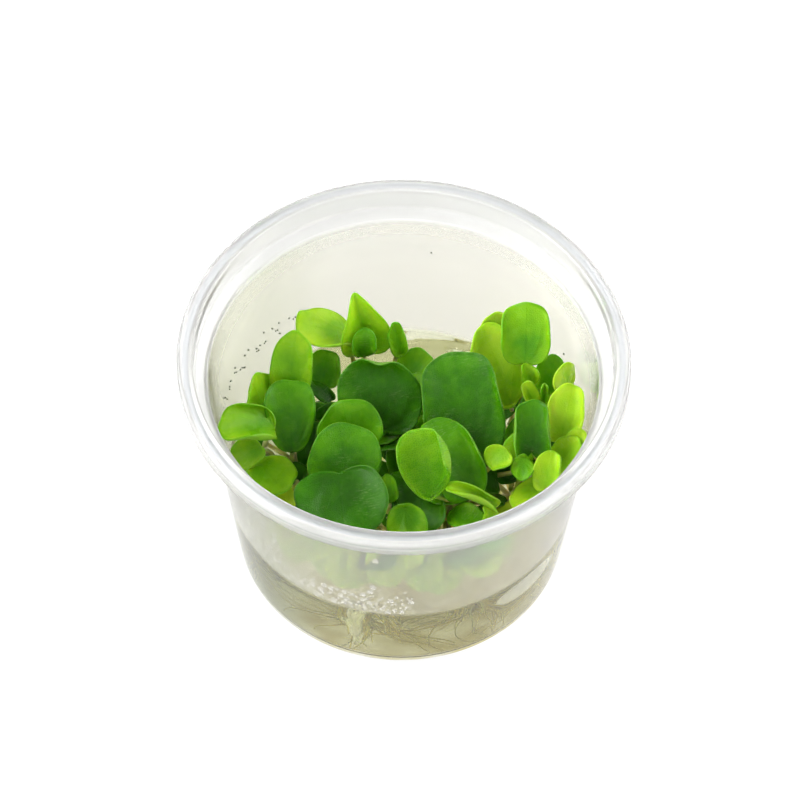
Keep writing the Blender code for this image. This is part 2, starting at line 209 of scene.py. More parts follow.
# The shape values are the part's own. tone runs from 0, dark green, to 1, yellow, wave is the height of the
# margin's ripple in mm, and each lip rolls a stretch of the margin up: middle and spread in degrees round
# from the tip, clockwise seen from above, and degrees rolled. net is how strongly the fine veins show, as
# relief and as lighter lines that where net is high are also painted sheen, and square how far the outline
# fills its corners.
Leaf = namedtuple(
    "Leaf",
    "plant notch tip width tone roll cup fold arch taper lobe bow wave lips net square",
    defaults=(0, 20, 0, -15, 0.0, 0.22, (0, 0), 0.5, (), 0.5, 0.0),
)
LEAVES = {
    "front_large": Leaf(
        "front", (-14, -20, 48), (-12, -34, 45), 20.5, 0.2, bow=(0, -3), square=0.02, wave=0.8,
        lips=((205, 22, 60),),
    ),
    "front_mid": Leaf("front", (-12, -17, 42), (-14, -7, 50), 16, 0.34, square=0.02, wave=0.9, net=1.1),
    "front_mid_back": Leaf(
        "front", (-11.5, -5, 38), (-13.5, 1.5, 47), 15.5, 0.42, wave=0.9, lips=((310, 30, 60),)
    ),
    "front_centre_low": Leaf(
        "front", (1, -23, 40), (2, -31, 38), 8.5, 0.56, wave=0.6, lips=((150, 30, 80),)
    ),
    "front_centre_dark": Leaf(
        "front", (1.5, -9, 33.5), (7.5, -25, 35.5), 11, 0.3, lips=((280, 35, 90),)
    ),
    "front_small": Leaf("front", (-2.5, -19, 38), (-3.5, -15, 42), 4, 0.5),
    "centre_large": Leaf(
        "back", (-4, 1, 38), (-8.5, 12.5, 50), 19, 0.24,
        roll=8, cup=30, square=0.04, wave=0.8, net=1.0, lips=((15, 38, 125),),
    ),
    "olive_under": Leaf("back", (-18.5, 13.5, 37), (-17.5, 20, 41), 8.5, 0.5, lips=((60, 40, 90),)),
    "back_left_yellow": Leaf(
        "back", (-13, 22, 44), (-25, 21, 49.5), 11, 0.76, wave=0.7, lips=((250, 30, 90), (20, 25, 50))
    ),
    "back_peak": Leaf(
        "back", (-9, 20, 43), (-11.4, 25.5, 55), 10.5, 0.7, cup=0, fold=25, taper=-1, wave=0.7,
        lips=((60, 25, 80),)
    ),
    "back_small": Leaf("back", (-9, 16.5, 44.5), (-9, 19.5, 50), 5.5, 0.42),
    "back_narrow": Leaf("back", (-1, 18.5, 43), (-2.5, 21.5, 50), 4.5, 0.52, cup=0, fold=20),
    "back_olive": Leaf("back", (0.5, 17, 34), (5.5, 22, 38), 9, 0.55),
    "back_olive_low": Leaf("back", (2, 11, 34), (5.5, 16, 37.5), 8, 0.48),
    "left_upright": Leaf(
        "left", (-26, 8, 40), (-24.5, 18.5, 49.5), 10, 0.63,
        cup=0, fold=20, bow=(3, 0), square=0.05, wave=0.7, lips=((75, 25, 60),),
    ),
    "left_dull": Leaf(
        "left", (-25, -4.5, 36), (-26, 7, 47), 11.5, 0.38,
        cup=10, arch=-10, taper=0.4, lobe=0.08, square=0.03, wave=0.9,
    ),
    "left_wall": Leaf(
        "left", (-31, 4.5, 37.5), (-35, 8, 45.5), 12.5, 0.68,
        roll=-20, cup=30, lobe=0.12, wave=0.6, lips=((330, 35, 70),),
    ),
    "left_far": Leaf(
        "left", (-29.5, -2.5, 42), (-40.8, -7, 46), 12, 0.6,
        cup=45, lobe=0.12, bow=(-3, -2), wave=0.6, lips=((110, 35, 100), (255, 40, 90)),
    ),
    "left_far_low": Leaf("left", (-32.5, -5, 37), (-38, -7.5, 34.5), 8, 0.64),
    "left_front_low": Leaf(
        "left", (-31.5, -9, 36), (-26, -17, 37), 11, 0.6, wave=0.8, lips=((100, 35, 70),)
    ),
    "left_shade": Leaf("left", (-23, -11.5, 30), (-26.5, -6.5, 33), 8, 0.2),
    "left_inner": Leaf("left", (-20.5, -5, 31), (-20, 1, 39), 7, 0.22),
    "left_narrow": Leaf("left", (-17, 10, 36), (-22, 13.5, 38), 3.5, 0.2),
    "right_large": Leaf(
        "middle", (14.5, -5, 38), (11.5, 13.5, 50.5), 19.5, 0.26, square=0.03, wave=1.0, net=1.2,
        lips=((80, 30, 60),),
    ),
    "folded_near": Leaf(
        "middle", (6.5, -19.5, 41), (4.5, -8, 50), 13.5, 0.5,
        roll=10, cup=42, arch=-10, taper=0.8, lobe=0.08, bow=(7, 1), wave=0.5,
        lips=((65, 42, 170), (275, 30, 60)), net=2.6, square=0.03,
    ),
    "folded_far": Leaf(
        "middle", (15, -17, 37), (6.5, -2.5, 46), 14, 0.4, cup=30, lobe=0.1, wave=0.8,
        lips=((80, 35, 100),),
    ),
    "front_right_low": Leaf("middle", (12, -20, 35), (18.5, -25, 36), 7, 0.5, bow=(0, -2)),
    "front_right_small": Leaf("middle", (21.5, -24, 35.5), (18.5, -21.5, 39.5), 4, 0.72, bow=(0, -6)),
    "rolled_band": Leaf("middle", (20.5, -20, 38), (10, -18.5, 43), 5, 0.7, cup=120, bow=(0, 3), wave=0.3),
    "right_yellow_tall": Leaf(
        "right_back", (24.5, 10, 36), (17.5, 22.5, 48), 14, 0.8, lobe=0.08, wave=0.9,
        lips=((320, 30, 60),),
    ),
    "right_yellow_back": Leaf("right_back", (21, 23, 41.5), (20.5, 25.5, 49), 8, 0.92),
    "right_upright": Leaf(
        "right_back", (27.5, 14.5, 45.5), (27.5, 24.5, 54.5), 11.5, 0.6,
        cup=15, arch=-10, lobe=0.12, bow=(4.5, 0), square=0.05, wave=0.5, lips=((85, 25, 40), (275, 25, 40)),
    ),
    "right_behind": Leaf("right_back", (33, 12.5, 38), (34.5, 17.5, 44), 7, 0.55),
    "young_mid": Leaf("right_back", (29, 11, 42), (27.5, 13.5, 46), 4, 0.68, cup=0, fold=20, bow=(3, 0)),
    "young_rolled": Leaf("right_front", (29.5, 6, 41), (27.5, 9, 45), 4.5, 0.76, cup=0, fold=40),
    "young_grey": Leaf("right_front", (32, 6.5, 41), (32, 8.5, 45), 3, 0.6, cup=0, fold=50),
    "right_bright": Leaf(
        "right_front", (36, -3, 41), (38, 6, 49), 9, 0.83, wave=0.8, lips=((60, 40, 60), (250, 35, 70))
    ),
    "right_bright_back": Leaf("right_back", (37, 9.5, 42), (35.5, 10.5, 49.5), 8, 0.86),
    "right_lobe": Leaf("right_front", (37.5, -7.5, 40.5), (40, -4.5, 46), 5, 0.78),
    "right_cup": Leaf(
        "right_front", (29, -8, 43), (29, 0.5, 50), 10.5, 0.34,
        cup=60, lobe=0.35, bow=(2, -1), square=0.02, wave=0.4, lips=((80, 40, 60), (280, 40, 60)),
    ),
    "right_low": Leaf("right_front", (35, -10, 39), (39.5, -6.5, 45), 8, 0.72),
    "small_round": Leaf(
        "middle", (23, -9.5, 44), (19.5, -12.5, 42), 6.5, 0.7, bow=(-3, -1), lips=((0, 80, 70),)
    ),
    "small_arc": Leaf("middle", (27.4, -8.8, 39), (24.4, -3.8, 42), 6.5, 0.6),
    "small_dark": Leaf("right_front", (27.5, -11, 43), (26.5, -15.5, 42), 5, 0.5, bow=(0, -2.5)),
    "right_front": Leaf(
        "right_front", (32, -16, 40), (33.5, -10.5, 46), 6.5, 0.74, bow=(4, 0), lips=((80, 40, 80),)
    ),
    "front_right_rim": Leaf("right_front", (31.5, -12.5, 36), (25, -19.5, 37), 6, 0.74, bow=(0.5, 0.5)),
}


def unit(vector):
    """The vector at length 1."""
    return vector / np.linalg.norm(vector)


def to_units(vectors):
    """Each of many vectors at length 1."""
    return vectors / np.maximum(np.linalg.norm(vectors, axis=-1, keepdims=True), 1e-9)


def turned(first, second, angle):
    """Two axes turned in their plane, the first towards the second."""
    cos, sin = math.cos(angle), math.sin(angle)
    return first * cos + second * sin, second * cos - first * sin


def from_front(angle, radius, height):
    """The point at an angle round from the front."""
    return np.array([radius * math.sin(angle), -radius * math.cos(angle), height])


def inner_wall(height):
    """Inner radius of the cup's sloping wall at a height."""
    return FOOT_RADIUS + WALL_SLOPE * height - WALL


# Materials


def fill(tree, node, inputs):
    """Links what comes from other nodes into the named sockets and sets plain values on them."""
    for name, value in inputs.items():
        if isinstance(value, bpy.types.NodeSocket):
            tree.links.new(value, node.inputs[name])
        else:
            node.inputs[name].default_value = value


def add_node(tree, kind, inputs=None, **settings):
    """A shader node with its settings and inputs."""
    node = tree.nodes.new(kind)
    for name, value in settings.items():
        setattr(node, name, value)
    fill(tree, node, inputs or {})
    return node


def calculate(tree, operation, *values, clamp=False):
    """The result of a Math node."""
    inputs = dict(enumerate(values))
    return add_node(tree, "ShaderNodeMath", inputs, operation=operation, use_clamp=clamp).outputs[0]


def times(tree, *values):
    """The product of the values."""
    product = values[0]
    for value in values[1:]:
        product = calculate(tree, "MULTIPLY", product, value)
    return product


def scaled(tree, value, factor, offset, clamp=False):
    """value * factor + offset."""
    return calculate(tree, "MULTIPLY_ADD", value, factor, offset, clamp=clamp)


def step_between(tree, value, low, high):
    """0 below low and 1 above high, smooth between them. With low over high it falls instead."""
    inputs = {"Value": value, "From Min": low, "From Max": high}
    node = add_node(tree, "ShaderNodeMapRange", inputs, interpolation_type="SMOOTHSTEP")
    return node.outputs["Result"]


def mix_colours(tree, share, first, second):
    """first where share is 0 and second where it is 1."""
    inputs = {"Factor": share, "A": first, "B": second}
    return add_node(tree, "ShaderNodeMix", inputs, data_type="RGBA").outputs["Result"]


def noise(tree, place, scale, detail=2.0, roughness=0.5):
    """Noise from 0 to 1 about 0.5."""
    inputs = {"Vector": place, "Scale": scale, "Detail": detail, "Roughness": roughness}
    return add_node(tree, "ShaderNodeTexNoise", inputs).outputs["Fac"]


def bump(tree, height, strength, distance):
    """A normal that follows a height."""
    inputs = {"Height": height, "Strength": strength, "Distance": distance}
    return add_node(tree, "ShaderNodeBump", inputs).outputs["Normal"]


def attribute(tree, name, output="Fac"):
    """A value that the mesh carries on its points."""
    return add_node(tree, "ShaderNodeAttribute", attribute_name=name).outputs[output]


def split_up(tree, vector):
    """The three coordinates of a vector."""
    outputs = add_node(tree, "ShaderNodeSeparateXYZ", {"Vector": vector}).outputs
    return outputs["X"], outputs["Y"], outputs["Z"]


def flat_length(tree, x, y):
    """Distance of a flat point from the origin."""
    flat = add_node(tree, "ShaderNodeCombineXYZ", {"X": x, "Y": y}).outputs["Vector"]
    return add_node(tree, "ShaderNodeVectorMath", {0: flat}, operation="LENGTH").outputs["Value"]


def new_material(name):
    """A material with its tree, its shader and its object coordinates."""
    material = bpy.data.materials.new(name)
    material.use_nodes = True
    tree = material.node_tree
    shader = tree.nodes["Principled BSDF"]
    place = add_node(tree, "ShaderNodeTexCoord").outputs["Object"]
    return material, tree, shader, place


def leaf_material():
    """Soft green leaf: tone, veins, margin and underside, painted sheen and edge shade, and light let through
    it.
    """
    material, tree, shader, place = new_material("leaf")
    tone, side, stalk, net = (attribute(tree, name) for name in ("tone", "side", "stalk", "net"))
    blade = attribute(tree, "blade", "Vector")
    across, along, share = split_up(tree, blade)

    turn = calculate(tree, "ARCTAN2", across, along)
    from_vein = calculate(tree, "PINGPONG", calculate(tree, "DIVIDE", turn, VEIN_ANGLE), 0.5)
    vein_distance = times(tree, from_vein, VEIN_ANGLE, flat_length(tree, across, along))
    main_vein = step_between(tree, vein_distance, 0.3, 0.05)
    midrib = step_between(tree, calculate(tree, "ABSOLUTE", across), 0.35, 0.05)
    cells = add_node(
        tree, "ShaderNodeTexVoronoi", {"Vector": blade, "Scale": 1.9},
        feature="DISTANCE_TO_EDGE", voronoi_dimensions="2D",
    ).outputs["Distance"]
    net_vein = times(tree, step_between(tree, cells, 0.3, 0.02), net)

    blotch = noise(tree, place, 190.0, 3.0)
    mottle = noise(tree, place, 900.0)
    level = calculate(tree, "ADD", tone, scaled(tree, blotch, 0.36, -0.18))
    level = calculate(tree, "ADD", level, scaled(tree, mottle, 0.08, -0.04))
    # Lighter veins and a darker midrib; where net is high, the lighter net lines are also painted sheen.
    for vein, weight in ((main_vein, 0.012), (midrib, -0.03), (net_vein, 0.03)):
        level = scaled(tree, vein, weight, level)
    outer = step_between(tree, share, 0.2, 0.95)
    level = scaled(tree, outer, 0.15, calculate(tree, "SUBTRACT", level, 0.08))
    # Painted edge shade: a thin darker line along the very edge of the blade.
    level = scaled(tree, step_between(tree, share, 0.95, 0.99), -0.08, level)

    ramp = add_node(tree, "ShaderNodeValToRGB", {"Fac": level})
    stops = ramp.color_ramp.elements
    for stop, (position, colour) in zip(stops, (LEAF_COLOURS[0], LEAF_COLOURS[-1])):
        stop.position, stop.color = position, (*colour, 1)
    for position, colour in LEAF_COLOURS[1:-1]:
        stops.new(position).color = (*colour, 1)
    stretched = add_node(
        tree, "ShaderNodeVectorMath", {0: blade, 1: (0.5, 2.2, 0.0)}, operation="MULTIPLY"
    ).outputs["Vector"]
    ripple = noise(tree, stretched, 1.3, 4.0, 0.65)
    # Painted sheen: pale streaks along the ripple, in patches, stand in for light glinting on the blade.
    sheen_patches = step_between(tree, noise(tree, place, 130.0), 0.5, 0.66)
    painted_sheen = times(tree, step_between(tree, ripple, 0.5, 0.68), sheen_patches, 0.2)
    upper = mix_colours(tree, painted_sheen, ramp.outputs["Color"], (0.34, 0.50, 0.18, 1))
    under = mix_colours(tree, 0.3, upper, (0.30, 0.48, 0.09, 1))
    browning = step_between(tree, noise(tree, place, 180.0), 0.35, 0.65)
    stalk_colour = mix_colours(tree, browning, (0.22, 0.26, 0.04, 1), (0.66, 0.62, 0.26, 1))

    height = scaled(tree, net_vein, -0.9, times(tree, main_vein, -0.5))
    for relief, weight in ((noise(tree, place, 2600.0), 0.25), (ripple, 0.4), (mottle, 0.6)):
        height = scaled(tree, relief, weight, height)
    coat_height = scaled(tree, net_vein, -1.0, times(tree, mottle, 1.6))
    fill(tree, shader, {
        "Base Color": mix_colours(tree, stalk, mix_colours(tree, side, under, upper), stalk_colour),
        "Roughness": scaled(tree, blotch, 0.14, 0.2),
        "Normal": bump(tree, height, 0.6, 0.0001),
        "Specular IOR Level": 0.09,
        "Coat Normal": bump(tree, coat_height, 1.0, 0.0001),
        "Coat Weight": 0.09,
        "Coat Roughness": 0.08,
        "Subsurface Weight": 0.55,
        "Subsurface Radius": (0.5, 1.0, 0.1),
        "Subsurface Scale": 0.0015,
    })
    return material


def air_pocket(tree, x, y, height):
    """1 inside the flat pocket of air between wall and gel at the front right, 0 outside it."""
    turn = math.radians(POCKET_ANGLE)
    around = scaled(tree, y, math.sin(turn), times(tree, x, math.cos(turn)))
    outward = scaled(tree, y, -math.cos(turn), times(tree, x, math.sin(turn)))
    wide = calculate(tree, "DIVIDE", around, POCKET_SIZE[0] * MM)
    lift = calculate(tree, "SUBTRACT", scaled(tree, around, -POCKET_SLOPE, height), POCKET_HEIGHT * MM)
    tall = calculate(tree, "DIVIDE", lift, POCKET_SIZE[1] * MM)
    reach = calculate(tree, "ADD", times(tree, wide, wide), times(tree, tall, tall))
    return times(tree, step_between(tree, reach, 1.05, 0.9), step_between(tree, outward, 20 * MM, 22 * MM))


def cup_material():
    """Clear plastic, a little milky, with mist inside over the gel, sediment, a pocket of air and painted
    shade.
    """
    material, tree, shader, place = new_material("cup_plastic")
    x, y, height = split_up(tree, place)
    radius = flat_length(tree, x, y)
    streaks = noise(tree, place, 60.0, 3.0)
    over_gel = step_between(tree, height, (GEL_TOP + 0.5) * MM, (GEL_TOP + 2.5) * MM)
    under_rim = step_between(tree, height, 58 * MM, 46 * MM)
    rim = step_between(tree, height, (LEDGE_HEIGHT - 1.6) * MM, (LEDGE_HEIGHT + 0.4) * MM)
    over_ledge = step_between(tree, height, (LEDGE_HEIGHT + 2.5) * MM, (LEDGE_HEIGHT + 1) * MM)
    ledge = times(tree, rim, over_ledge)
    skin = scaled(tree, height, -WALL_SLOPE, radius)
    inside = step_between(tree, skin, (FOOT_RADIUS - 0.35) * MM, (FOOT_RADIUS - 0.45) * MM)
    mist = times(tree, over_gel, scaled(tree, under_rim, 0.7, 0.3), inside)
    pocket = air_pocket(tree, x, y, height)
    clear = 0.97
    for mask, milk in ((over_gel, 0.05), (rim, 0.13), (ledge, 0.1), (mist, 0.09), (pocket, 0.16)):
        clear = scaled(tree, mask, -milk, clear)

    # Painted shade: a bluish grey tint darkens the groove on the rim's top; the plastic's faint blue there is
    # real.
    painted_groove_shade = times(
        tree,
        step_between(tree, radius, 47.2 * MM, 47.6 * MM),
        step_between(tree, radius, 49.0 * MM, 48.6 * MM),
        step_between(tree, height, 66.0 * MM, 66.4 * MM),
    )
    sediment = times(
        tree,
        scaled(tree, noise(tree, place, 80.0, 6.0, 0.6), 3.0, -0.7, clamp=True),
        step_between(tree, height, 3.8 * MM, 1.8 * MM),
        step_between(tree, y, 12 * MM, -12 * MM),
    )
    # Painted shade: a darker olive tint on the left of the wall, strong below the gel and weaker above it.
    painted_left_shade = times(
        tree,
        scaled(tree, over_gel, -0.6, 0.9),
        step_between(tree, x, -14 * MM, -34 * MM),
        calculate(tree, "SUBTRACT", 1.0, rim),
    )
    colour = mix_colours(tree, over_gel, (0.87, 0.87, 0.70, 1), (0.89, 0.875, 0.81, 1))
    for mask, tint in (
        (rim, (0.865, 0.865, 0.85, 1)),
        (sediment, (0.37, 0.31, 0.05, 1)),
        (painted_left_shade, (0.45, 0.49, 0.33, 1)),
        (painted_groove_shade, (0.72, 0.75, 0.785, 1)),
    ):
        colour = mix_colours(tree, mask, colour, tint)
    wetted = times(
        tree,
        inside,
        step_between(tree, height, 1.2 * MM, 1.4 * MM),
        calculate(tree, "SUBTRACT", 1.0, over_gel),
        calculate(tree, "SUBTRACT", 1.0, pocket),
    )
    shader.inputs["IOR"].default_value = CUP_IOR
    fill(tree, shader, {
        "Base Color": colour,
        "Transmission Weight": clear,
        "Roughness": calculate(tree, "ADD", times(tree, mist, scaled(tree, streaks, 0.06, 0.03)), 0.02),
        "IOR": scaled(tree, wetted, CUP_IOR / GEL_IOR - CUP_IOR, CUP_IOR),
        "Subsurface Weight": 1.0,
        "Subsurface Radius": (1, 1, 1),
        "Subsurface Scale": 0.002,
    })
    return material


def gel_material():
    """Clear wet gel that takes blue out of the light, the more the deeper it is."""
    material, tree, shader, place = new_material("nutrient_gel")
    x, y, height = split_up(tree, place)
    skin = scaled(tree, height, -WALL_SLOPE, flat_length(tree, x, y))
    edge = FOOT_RADIUS - WALL - GEL_FILM
    off_wall = step_between(tree, skin, (edge - 0.03) * MM, (edge - 0.1) * MM)
    free = times(tree, step_between(tree, height, 19 * MM, 20 * MM), off_wall)
    free = calculate(tree, "MAXIMUM", free, air_pocket(tree, x, y, height))
    shader.inputs["IOR"].default_value = GEL_IOR
    fill(tree, shader, {
        "Base Color": (1, 1, 1, 1),
        "Transmission Weight": 1.0,
        "IOR": scaled(tree, free, GEL_IOR - 1, 1.0),
        "Roughness": times(tree, free, times(tree, noise(tree, place, 90.0), 0.12)),
    })
    absorb = add_node(tree, "ShaderNodeVolumeAbsorption", {"Color": GEL_TINT, "Density": GEL_DENSITY})
    fill(tree, tree.nodes["Material Output"], {"Volume": absorb.outputs["Volume"]})
    return material


def drop_material():
    """Clean water."""
    material, tree, shader, _ = new_material("water_drop")
    fill(tree, shader, {
        "Base Color": (1, 1, 1, 1), "Transmission Weight": 1.0, "IOR": WATER_IOR, "Roughness": 0.02,
    })
    return material


def root_material():
    """Pale roots, from tan to whitish by strand, with darker stretches."""
    material, tree, shader, place = new_material("root")
    tone = attribute(tree, "tone")
    stain = step_between(tree, noise(tree, place, 220.0, 3.0), 0.45, 0.7)
    colour = mix_colours(tree, tone, (0.93, 0.80, 0.16, 1), (0.99, 0.97, 0.72, 1))
    fill(tree, shader, {
        "Base Color": mix_colours(tree, times(tree, stain, 0.4), colour, (0.66, 0.76, 0.10, 1)),
        "Roughness": 0.55,
        "Transmission Weight": times(tree, step_between(tree, tone, 0.99, 0.8), 0.5),
        "IOR": 1.0,
        "Subsurface Weight": 0.25,
        "Subsurface Radius": (1.0, 0.8, 0.4),
        "Subsurface Scale": 0.0005,
    })
    return material


def crown_material():
    """Olive crown with brown bases."""
    material, tree, shader, place = new_material("crown")
    browning = noise(tree, place, 500.0, 3.0)
    fill(tree, shader, {
        "Base Color": mix_colours(tree, browning, (0.08, 0.11, 0.02, 1), (0.34, 0.30, 0.09, 1)),
        "Normal": bump(tree, noise(tree, place, 1500.0), 0.4, 0.0003),
        "Roughness": 0.5,
    })
    return material


# Meshes


def add_piece(name, verts, faces, material, node, slot, floats=None, vectors=None, sharp_angle=None):
    """A smooth-shaded piece in metres from points in mm, riding on the root in place of a node."""
    mesh = bpy.data.meshes.new(name)
    mesh.from_pydata((np.asarray(verts, float) * MM).tolist(), [], faces)
    for key, values in (floats or {}).items():
        mesh.attributes.new(key, "FLOAT", "POINT").data.foreach_set("value", np.asarray(values, np.float32))
    for key, values in (vectors or {}).items():
        flat = np.asarray(values, np.float32).ravel()
        mesh.attributes.new(key, "FLOAT_VECTOR", "POINT").data.foreach_set("vector", flat)
    mesh.shade_smooth()
    if sharp_angle:
        mesh.set_sharp_from_angle(angle=math.radians(sharp_angle))
    mesh.materials.append(material)
    piece = bpy.data.objects.new(name, mesh)
    bpy.context.scene.collection.objects.link(piece)
    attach(piece, "root")
    if node:
        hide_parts(node)


def ring_faces(first, second, count):
    """Quads between two rings of count points that start at these indices."""
    return [
        (first + k, first + (k + 1) % count, second + (k + 1) % count, second + k) for k in range(count)
    ]


def shell_faces(rings, steps):
    """Faces of a closed shell: a point, rings of points and a last point."""
    faces = [(0, 1 + (k + 1) % steps, 1 + k) for k in range(steps)]
    for ring in range(rings - 1):
        faces += ring_faces(1 + ring * steps, 1 + (ring + 1) * steps, steps)
    low, last = 1 + (rings - 1) * steps, 1 + rings * steps
    return faces + [(low + k, low + (k + 1) % steps, last) for k in range(steps)]


def lathe(profile, steps):
    """Points and faces of a closed body turned from (radius, height) pairs that start and end on the axis."""
    turns = [math.tau * k / steps for k in range(steps)]
    verts = [(0, 0, profile[0][1])]
    for radius, height in profile[1:-1]:
        verts += [(radius * math.cos(a), radius * math.sin(a), height) for a in turns]
    verts.append((0, 0, profile[-1][1]))
    return verts, shell_faces(len(profile) - 2, steps)


def tube(path, radii, sides):
    """Points and faces of a closed round tube along a path."""
    path = np.asarray(path, float)
    side = unit(np.cross(path[1] - path[0], (0.31, 0.83, 0.46)))
    verts, faces = [], []
    for k, point in enumerate(path):
        along = unit(path[min(k + 1, len(path) - 1)] - path[max(k - 1, 0)])
        side = unit(side - along * np.dot(side, along))
        other = np.cross(along, side)
        for i in range(sides):
            a = math.tau * i / sides
            verts.append(point + radii[k] * (side * math.cos(a) + other * math.sin(a)))
    for k in range(len(path) - 1):
        faces += ring_faces(k * sides, (k + 1) * sides, sides)
    faces.append(tuple(range(sides - 1, -1, -1)))
    faces.append(tuple((len(path) - 1) * sides + i for i in range(sides)))
    return verts, faces


def join(parts):
    """One list of points and one of faces from several."""
    verts, faces = [], []
    for part_verts, part_faces in parts:
        start = len(verts)
        verts.extend(part_verts)
        faces.extend(tuple(start + i for i in face) for face in part_faces)
    return verts, faces


# Cup and gel


def arc(centre, radius, start, end, count):
    """(radius, height) pairs on an arc, from one angle to another in degrees."""
    angles = [math.radians(start + (end - start) * k / count) for k in range(count + 1)]
    return [(centre[0] + radius * math.cos(a), centre[1] + radius * math.sin(a)) for a in angles]


def cup_profile():
    """The cup's outline with its rounds: foot ring, wall, ledge, hollow rim and the inside."""
    neck = FOOT_RADIUS + WALL_SLOPE * LEDGE_HEIGHT
    bead = 0.35
    return [
        (0, 0.6),
        (32.6, 0.6),
        (33.3, 0.25),
        (33.9, 0.02),
        (34.4, 0),
        (36.4, 0),
        *arc((36.7, 1.5), 1.5, -80, -5, 8),
        (FOOT_RADIUS + WALL_SLOPE * 8, 8),
        (FOOT_RADIUS + WALL_SLOPE * 30, 30),
        (neck - 0.3, LEDGE_HEIGHT - 1.5),
        *arc((neck + 0.9, LEDGE_HEIGHT - 1.0), 1.1, 170, 95, 5),
        *arc((COLLAR_RADIUS - 0.2, LEDGE_HEIGHT + 1.3), 1.0, -70, -5, 5),
        (COLLAR_RADIUS + 0.85, CUP_HEIGHT - 2.0),
        *arc((COLLAR_RADIUS + 1.45, CUP_HEIGHT - 1.6), 0.6, 180, 95, 5),
        *arc((RIM_RADIUS - 1.4, CUP_HEIGHT - 1.5), 0.5, 85, 0, 5),
        *[(RIM_RADIUS - inset, SKIRT_BOTTOM + rise) for inset, rise in SKIRT_POINTS],
        *arc((RIM_RADIUS - 0.75, CUP_HEIGHT - 0.75), 0.75, 0, 110, 8),
        (RIM_RADIUS - 1.35, CUP_HEIGHT - 0.25),
        (RIM_RADIUS - 1.7, CUP_HEIGHT - 0.4),
        (RIM_RADIUS - 2.3, CUP_HEIGHT - 0.42),
        (COLLAR_RADIUS + 0.95, CUP_HEIGHT - 0.25),
        *arc((COLLAR_RADIUS + bead, CUP_HEIGHT - bead), bead, 70, 180, 7),
        (COLLAR_RADIUS - 0.25, CUP_HEIGHT - 1.5),
        (COLLAR_RADIUS - 0.3, LEDGE_HEIGHT + 1.6),
        *arc((COLLAR_RADIUS - 1.1, LEDGE_HEIGHT + 1.5), 0.8, 0, -70, 5),
        *arc((neck - WALL + 0.5, LEDGE_HEIGHT - 0.3), 0.5, 100, 175, 5),
        (inner_wall(30), 30),
        (inner_wall(8), 8),
        *arc((inner_wall(CORNER_HEIGHT) - CORNER_ROUND, FLOOR_TOP + CORNER_ROUND), CORNER_ROUND, 0, -85, 6),
        (0, FLOOR_TOP),
    ]


def build_cup():
    shape = lathe(cup_profile(), CUP_STEPS)
    add_piece("cup_wall", *shape, cup_material(), "cup", "cup_plastic", sharp_angle=50)


def build_gel():
    """The gel just inside the wall, with a raised edge against it and a gently uneven top."""
    rings = [(0, FLOOR_TOP + GEL_FILM), (34.0, FLOOR_TOP + GEL_FILM)]
    corner = (inner_wall(CORNER_HEIGHT) - CORNER_ROUND, FLOOR_TOP + CORNER_ROUND + GEL_FILM)
    rings += arc(corner, CORNER_ROUND - GEL_FILM, -80, 0, 6)
    edge_height = GEL_TOP + MENISCUS_HEIGHT
    for height in (8, 14, 19, edge_height - 0.1):
        rings.append((inner_wall(height) - GEL_FILM, height))
    outer = inner_wall(edge_height) - GEL_FILM
    for k in range(1, MENISCUS_STEPS + 1):
        share = k / MENISCUS_STEPS
        lift = MENISCUS_HEIGHT * (1 - share) ** 2.2
        rings.append((outer - MENISCUS_WIDTH * share, GEL_TOP + lift))
    rings += [(radius, GEL_TOP) for radius in np.arange(35.4, 0.5, -0.6)] + [(0, GEL_TOP)]
    verts, faces = lathe(rings, CUP_STEPS)
    verts = np.array(verts)
    top = verts[:, 2] > GEL_TOP - 0.5
    x, y = verts[:, 0], verts[:, 1]
    uneven = 0.28 * np.sin(x / 4.1 + 0.6) * np.cos(y / 3.3) + 0.22 * np.sin((x + 1.7 * y) / 2.9)
    uneven += 0.12 * np.sin(x / 0.9 + 2 * np.sin(y / 1.7)) * np.cos(y / 1.1 + x / 3.1)
    calm = 1 - np.exp(-((np.hypot(x, y) - outer) / 0.6) ** 2)
    turn = np.arctan2(y, x)
    bank = np.exp(-((outer - np.hypot(x, y) - 2.6) / 1.5) ** 2)
    uneven += 0.6 * bank * np.sin(23 * turn + 2.5 * np.sin(7 * turn) + np.hypot(x, y) * 1.6)
    uneven += 0.2 * bank * np.sin(61 * turn + 3 * np.sin(5 * turn) - np.hypot(x, y) * 2.1)
    verts[:, 2] += np.where(top, uneven * calm, 0)
    add_piece("gel_body", verts, faces, gel_material(), "gel", "nutrient_gel", sharp_angle=70)


# Leaves


def blade_edge(turn, leaf, length):
    """The flat outline at turn, an angle that goes round it from the tip. The notch is half way round."""
    back = leaf.lobe * length
    corner = 1 + leaf.square * np.sin(2 * turn) ** 2
    x = leaf.width / 2 * np.sin(turn) * corner
    y = (length - back) / 2 + (length + back) / 2 * np.cos(turn) * corner
    x = x * (1 + leaf.taper * (y / length - 0.5))
    reach = np.hypot(x, y)
    cut_in = (reach - NOTCH_REACH) * np.exp(-(((math.pi - turn) / NOTCH_WIDTH) ** 2))
    kept = np.maximum(reach - cut_in, NOTCH_REACH) / reach
    return x * kept, y * kept


def bent(x, y, z, leaf, length):
    """Flat blade points, z above it, bent across, folded along the midrib and arched along its length."""
    across = 2 * math.radians(leaf.cup) / leaf.width
    if across:
        turn = x * across
        x, z = (1 / across - z) * np.sin(turn), 1 / across - (1 / across - z) * np.cos(turn)
    fold = math.radians(leaf.fold)
    soft = np.sqrt(x * x + 0.09) - 0.3
    x, z = x * math.cos(fold), z + soft * math.sin(fold)
    along = math.radians(leaf.arch) / length
    if along:
        turn = y * along
        y = np.sin(turn) / along - z * np.sin(turn)
        z = (1 - np.cos(turn)) / along + z * np.cos(turn)
    return x, y, z


